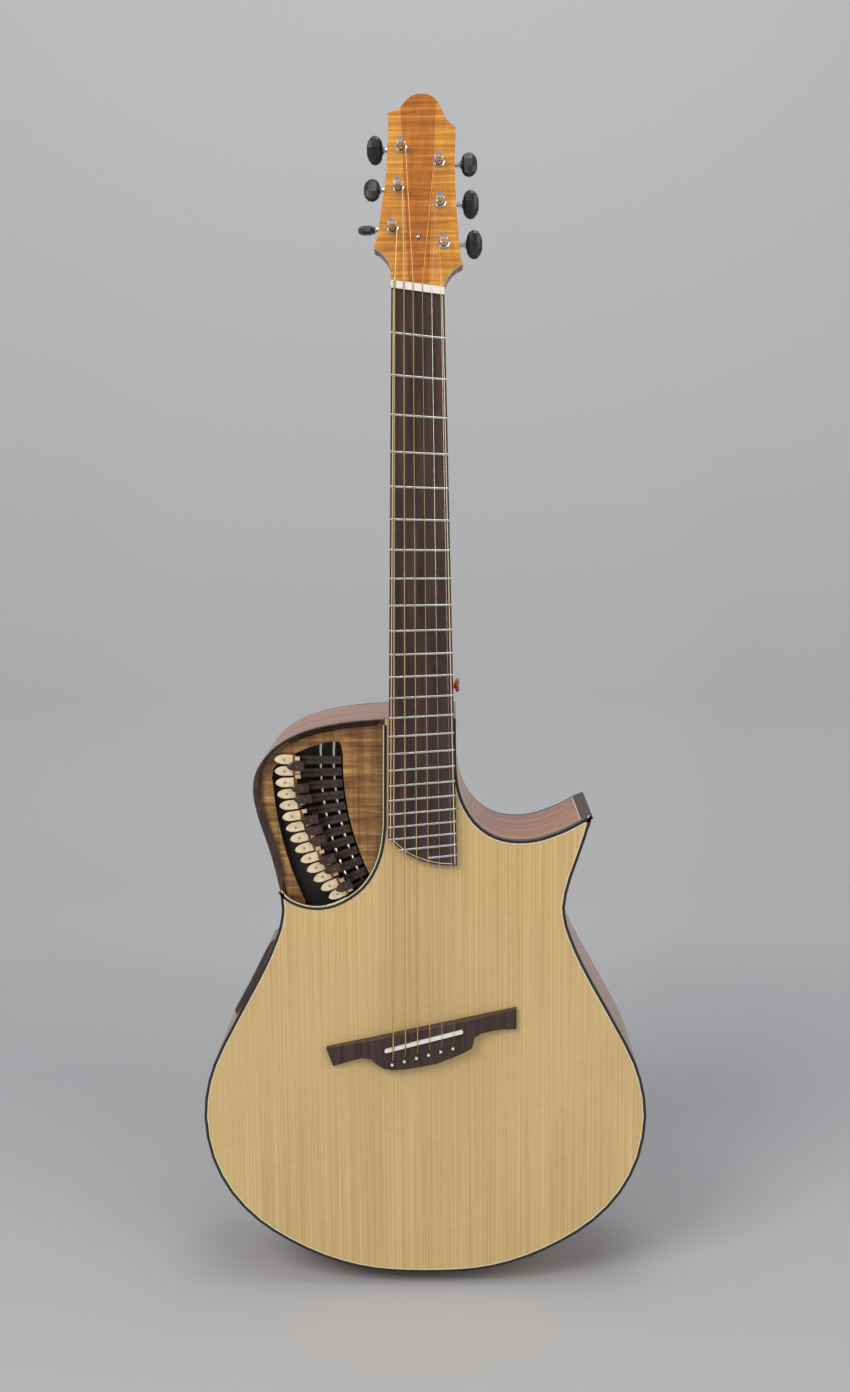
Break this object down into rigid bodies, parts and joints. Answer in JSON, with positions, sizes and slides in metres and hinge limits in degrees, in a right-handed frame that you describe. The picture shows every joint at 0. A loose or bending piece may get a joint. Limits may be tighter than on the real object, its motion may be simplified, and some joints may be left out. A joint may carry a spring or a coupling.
{
  "type": "acoustic guitar",
  "caption": "Steel-string acoustic guitar with slanted frets, a pointed cutaway and a small sprung thumb keyboard set into its upper bout.",
  "frame": {"origin": "on the centre line at the bass end of the nut, in the plane of the soundboard's face, where a wall hanger holds the head", "axes": "+X to the right of someone who looks at the front (treble side), +Y from the front to the back, +Z along the neck towards the head"},
  "size_m": [0.396, 0.1354, 1.046],
  "materials": {
    "spruce": "glossy lacquer over pale straight grain",
    "mahogany": "glossy lacquer over red-brown wood",
    "rosewood": "satin, very dark brown",
    "koa": "glossy lacquer over figured amber wood",
    "bone": "smooth ivory-coloured",
    "ebony": "smooth, near black",
    "steel": "fine brushed",
    "chrome": "bright plated",
    "wound_wire": "bronze winding",
    "plain_wire": "plain drawn wire",
    "copper": "polished, copper-toned"
  },
  "bodies": {
    "guitar": {"soundboard": "spruce", "back": "mahogany", "rim": "mahogany", "braces": "spruce", "side_plate": "ebony", "well_bezel": "rosewood", "key_panel": "koa", "key_bed": "ebony", "key_rods": "steel", "neck": "mahogany", "head_plate": "koa", "fingerboard": "rosewood", "nut": "bone", "bridge": "rosewood", "saddle": "bone", "bass_tuner_plate": "chrome", "treble_tuner_plate": "chrome", "strap_button": "copper", "end_pin": "copper", "string_1": "plain_wire", "string_2": "plain_wire", "string_3": "wound_wire", "string_4": "wound_wire", "string_5": "wound_wire", "string_6": "wound_wire"},
    "key_01": {"key_01_white": "bone"},
    "key_02": {"key_02_dark": "rosewood"},
    "key_03": {"key_03_white": "bone"},
    "key_04": {"key_04_white": "bone"},
    "key_05": {"key_05_dark": "rosewood"},
    "key_06": {"key_06_white": "bone"},
    "key_07": {"key_07_dark": "rosewood"},
    "key_08": {"key_08_white": "bone"},
    "key_09": {"key_09_white": "bone"},
    "key_10": {"key_10_dark": "rosewood"},
    "key_11": {"key_11_white": "bone"},
    "key_12": {"key_12_dark": "rosewood"},
    "key_13": {"key_13_white": "bone"},
    "key_14": {"key_14_dark": "rosewood"},
    "key_15": {"key_15_white": "bone"},
    "key_16": {"key_16_white": "bone"},
    "key_17": {"key_17_dark": "rosewood"},
    "key_18": {"key_18_white": "bone"},
    "key_19": {"key_19_dark": "rosewood"},
    "key_20": {"key_20_white": "bone"},
    "key_21": {"key_21_white": "bone"},
    "key_22": {"key_22_dark": "rosewood"},
    "key_23": {"key_23_white": "bone"},
    "bass_post_1": {"bass_post_1": "chrome"},
    "bass_button_1": {"bass_button_1": "ebony"},
    "bass_post_2": {"bass_post_2": "chrome"},
    "bass_button_2": {"bass_button_2": "ebony"},
    "bass_post_3": {"bass_post_3": "chrome"},
    "bass_button_3": {"bass_button_3": "ebony"},
    "treble_post_1": {"treble_post_1": "chrome"},
    "treble_button_1": {"treble_button_1": "ebony"},
    "treble_post_2": {"treble_post_2": "chrome"},
    "treble_button_2": {"treble_button_2": "ebony"},
    "treble_post_3": {"treble_post_3": "chrome"},
    "treble_button_3": {"treble_button_3": "ebony"}
  },
  "joints": [
    {"name": "key_01_press", "type": "hinge", "parent": "guitar", "child": "key_01", "pos_m": [-0.07745, 0.0132, -0.39718], "axis": [-0.0195, 0, -0.9998], "range_deg": [0, 4.5], "stiffness_Nm_per_rad": 0.02, "springref_deg": -14.32},
    {"name": "key_02_press", "type": "hinge", "parent": "guitar", "child": "key_02", "pos_m": [-0.0775, 0.0132, -0.40087], "axis": [-0.0046, 0, -1], "range_deg": [0, 4.5], "stiffness_Nm_per_rad": 0.02, "springref_deg": -14.32},
    {"name": "key_03_press", "type": "hinge", "parent": "guitar", "child": "key_03", "pos_m": [-0.07744, 0.0132, -0.40766], "axis": [0.023, 0, -0.9997], "range_deg": [0, 4.5], "stiffness_Nm_per_rad": 0.02, "springref_deg": -14.32},
    {"name": "key_04_press", "type": "hinge", "parent": "guitar", "child": "key_04", "pos_m": [-0.07732, 0.0132, -0.41135], "axis": [0.0379, 0, -0.9993], "range_deg": [0, 4.5], "stiffness_Nm_per_rad": 0.02, "springref_deg": -14.32},
    {"name": "key_05_press", "type": "hinge", "parent": "guitar", "child": "key_05", "pos_m": [-0.07697, 0.0132, -0.41813], "axis": [0.0654, 0, -0.9979], "range_deg": [0, 4.5], "stiffness_Nm_per_rad": 0.02, "springref_deg": -14.32},
    {"name": "key_06_press", "type": "hinge", "parent": "guitar", "child": "key_06", "pos_m": [-0.0767, 0.0132, -0.42181], "axis": [0.0804, 0, -0.9968], "range_deg": [0, 4.5], "stiffness_Nm_per_rad": 0.02, "springref_deg": -14.32},
    {"name": "key_07_press", "type": "hinge", "parent": "guitar", "child": "key_07", "pos_m": [-0.07606, 0.0132, -0.42857], "axis": [0.1078, 0, -0.9942], "range_deg": [0, 4.5], "stiffness_Nm_per_rad": 0.02, "springref_deg": -14.32},
    {"name": "key_08_press", "type": "hinge", "parent": "guitar", "child": "key_08", "pos_m": [-0.07564, 0.0132, -0.43224], "axis": [0.1227, 0, -0.9924], "range_deg": [0, 4.5], "stiffness_Nm_per_rad": 0.02, "springref_deg": -14.32},
    {"name": "key_09_press", "type": "hinge", "parent": "guitar", "child": "key_09", "pos_m": [-0.07471, 0.0132, -0.43896], "axis": [0.1499, 0, -0.9887], "range_deg": [0, 4.5], "stiffness_Nm_per_rad": 0.02, "springref_deg": -14.32},
    {"name": "key_10_press", "type": "hinge", "parent": "guitar", "child": "key_10", "pos_m": [-0.07413, 0.0132, -0.44261], "axis": [0.1647, 0, -0.9863], "range_deg": [0, 4.5], "stiffness_Nm_per_rad": 0.02, "springref_deg": -14.32},
    {"name": "key_11_press", "type": "hinge", "parent": "guitar", "child": "key_11", "pos_m": [-0.07292, 0.0132, -0.44929], "axis": [0.1918, 0, -0.9814], "range_deg": [0, 4.5], "stiffness_Nm_per_rad": 0.02, "springref_deg": -14.32},
    {"name": "key_12_press", "type": "hinge", "parent": "guitar", "child": "key_12", "pos_m": [-0.07219, 0.0132, -0.45291], "axis": [0.2065, 0, -0.9784], "range_deg": [0, 4.5], "stiffness_Nm_per_rad": 0.02, "springref_deg": -14.32},
    {"name": "key_13_press", "type": "hinge", "parent": "guitar", "child": "key_13", "pos_m": [-0.07069, 0.0132, -0.45953], "axis": [0.2334, 0, -0.9724], "range_deg": [0, 4.5], "stiffness_Nm_per_rad": 0.02, "springref_deg": -14.32},
    {"name": "key_14_press", "type": "hinge", "parent": "guitar", "child": "key_14", "pos_m": [-0.06981, 0.0132, -0.46311], "axis": [0.2479, 0, -0.9688], "range_deg": [0, 4.5], "stiffness_Nm_per_rad": 0.02, "springref_deg": -14.32},
    {"name": "key_15_press", "type": "hinge", "parent": "guitar", "child": "key_15", "pos_m": [-0.06803, 0.0132, -0.46966], "axis": [0.2745, 0, -0.9616], "range_deg": [0, 4.5], "stiffness_Nm_per_rad": 0.02, "springref_deg": -14.32},
    {"name": "key_16_press", "type": "hinge", "parent": "guitar", "child": "key_16", "pos_m": [-0.06699, 0.0132, -0.4732], "axis": [0.2889, 0, -0.9574], "range_deg": [0, 4.5], "stiffness_Nm_per_rad": 0.02, "springref_deg": -14.32},
    {"name": "key_17_press", "type": "hinge", "parent": "guitar", "child": "key_17", "pos_m": [-0.06494, 0.0132, -0.47968], "axis": [0.3151, 0, -0.9491], "range_deg": [0, 4.5], "stiffness_Nm_per_rad": 0.02, "springref_deg": -14.32},
    {"name": "key_18_press", "type": "hinge", "parent": "guitar", "child": "key_18", "pos_m": [-0.06375, 0.0132, -0.48317], "axis": [0.3293, 0, -0.9442], "range_deg": [0, 4.5], "stiffness_Nm_per_rad": 0.02, "springref_deg": -14.32},
    {"name": "key_19_press", "type": "hinge", "parent": "guitar", "child": "key_19", "pos_m": [-0.06143, 0.0132, -0.48955], "axis": [0.3552, 0, -0.9348], "range_deg": [0, 4.5], "stiffness_Nm_per_rad": 0.02, "springref_deg": -14.32},
    {"name": "key_20_press", "type": "hinge", "parent": "guitar", "child": "key_20", "pos_m": [-0.06009, 0.0132, -0.49299], "axis": [0.3691, 0, -0.9294], "range_deg": [0, 4.5], "stiffness_Nm_per_rad": 0.02, "springref_deg": -14.32},
    {"name": "key_21_press", "type": "hinge", "parent": "guitar", "child": "key_21", "pos_m": [-0.0575, 0.0132, -0.49927], "axis": [0.3946, 0, -0.9189], "range_deg": [0, 4.5], "stiffness_Nm_per_rad": 0.02, "springref_deg": -14.32},
    {"name": "key_22_press", "type": "hinge", "parent": "guitar", "child": "key_22", "pos_m": [-0.05602, 0.0132, -0.50265], "axis": [0.4083, 0, -0.9128], "range_deg": [0, 4.5], "stiffness_Nm_per_rad": 0.02, "springref_deg": -14.32},
    {"name": "key_23_press", "type": "hinge", "parent": "guitar", "child": "key_23", "pos_m": [-0.05316, 0.0132, -0.5088], "axis": [0.4333, 0, -0.9013], "range_deg": [0, 4.5], "stiffness_Nm_per_rad": 0.02, "springref_deg": -14.32},
    {"name": "bass_button_1_turn", "type": "hinge", "parent": "guitar", "child": "bass_button_1", "pos_m": [-0.0137, 0.04582, 0.11762], "axis": [-1, 0, 0], "continuous": true},
    {"name": "bass_post_1_turn", "type": "hinge", "parent": "guitar", "child": "bass_post_1", "pos_m": [-0.0137, 0.02555, 0.1165], "axis": [0, -0.9703, 0.2419], "continuous": true},
    {"name": "bass_button_2_turn", "type": "hinge", "parent": "guitar", "child": "bass_button_2", "pos_m": [-0.0162, 0.0374, 0.08386], "axis": [-1, 0, 0], "continuous": true},
    {"name": "bass_post_2_turn", "type": "hinge", "parent": "guitar", "child": "bass_post_2", "pos_m": [-0.0162, 0.01713, 0.08273], "axis": [0, -0.9703, 0.2419], "continuous": true},
    {"name": "bass_button_3_turn", "type": "hinge", "parent": "guitar", "child": "bass_button_3", "pos_m": [-0.021, 0.02894, 0.0499], "axis": [-1, 0, 0], "continuous": true},
    {"name": "bass_post_3_turn", "type": "hinge", "parent": "guitar", "child": "bass_post_3", "pos_m": [-0.021, 0.00866, 0.04877], "axis": [0, -0.9703, 0.2419], "continuous": true},
    {"name": "treble_button_1_turn", "type": "hinge", "parent": "guitar", "child": "treble_button_1", "pos_m": [0.0176, 0.04263, 0.10482], "axis": [1, 0, 0], "continuous": true},
    {"name": "treble_post_1_turn", "type": "hinge", "parent": "guitar", "child": "treble_post_1", "pos_m": [0.0176, 0.02235, 0.10369], "axis": [0, -0.9703, 0.2419], "continuous": true},
    {"name": "treble_button_2_turn", "type": "hinge", "parent": "guitar", "child": "treble_button_2", "pos_m": [0.0187, 0.03419, 0.07095], "axis": [1, 0, 0], "continuous": true},
    {"name": "treble_post_2_turn", "type": "hinge", "parent": "guitar", "child": "treble_post_2", "pos_m": [0.0187, 0.01391, 0.06982], "axis": [0, -0.9703, 0.2419], "continuous": true},
    {"name": "treble_button_3_turn", "type": "hinge", "parent": "guitar", "child": "treble_button_3", "pos_m": [0.0214, 0.02574, 0.03709], "axis": [1, 0, 0], "continuous": true},
    {"name": "treble_post_3_turn", "type": "hinge", "parent": "guitar", "child": "treble_post_3", "pos_m": [0.0214, 0.00547, 0.03596], "axis": [0, -0.9703, 0.2419], "continuous": true}
  ],
  "couplings": [
    {"joint": "bass_post_1_turn", "follows": "bass_button_1_turn", "ratio": -0.0625},
    {"joint": "bass_post_2_turn", "follows": "bass_button_2_turn", "ratio": -0.0625},
    {"joint": "bass_post_3_turn", "follows": "bass_button_3_turn", "ratio": -0.0625},
    {"joint": "treble_post_1_turn", "follows": "treble_button_1_turn", "ratio": 0.0625},
    {"joint": "treble_post_2_turn", "follows": "treble_button_2_turn", "ratio": 0.0625},
    {"joint": "treble_post_3_turn", "follows": "treble_button_3_turn", "ratio": 0.0625}
  ]
}
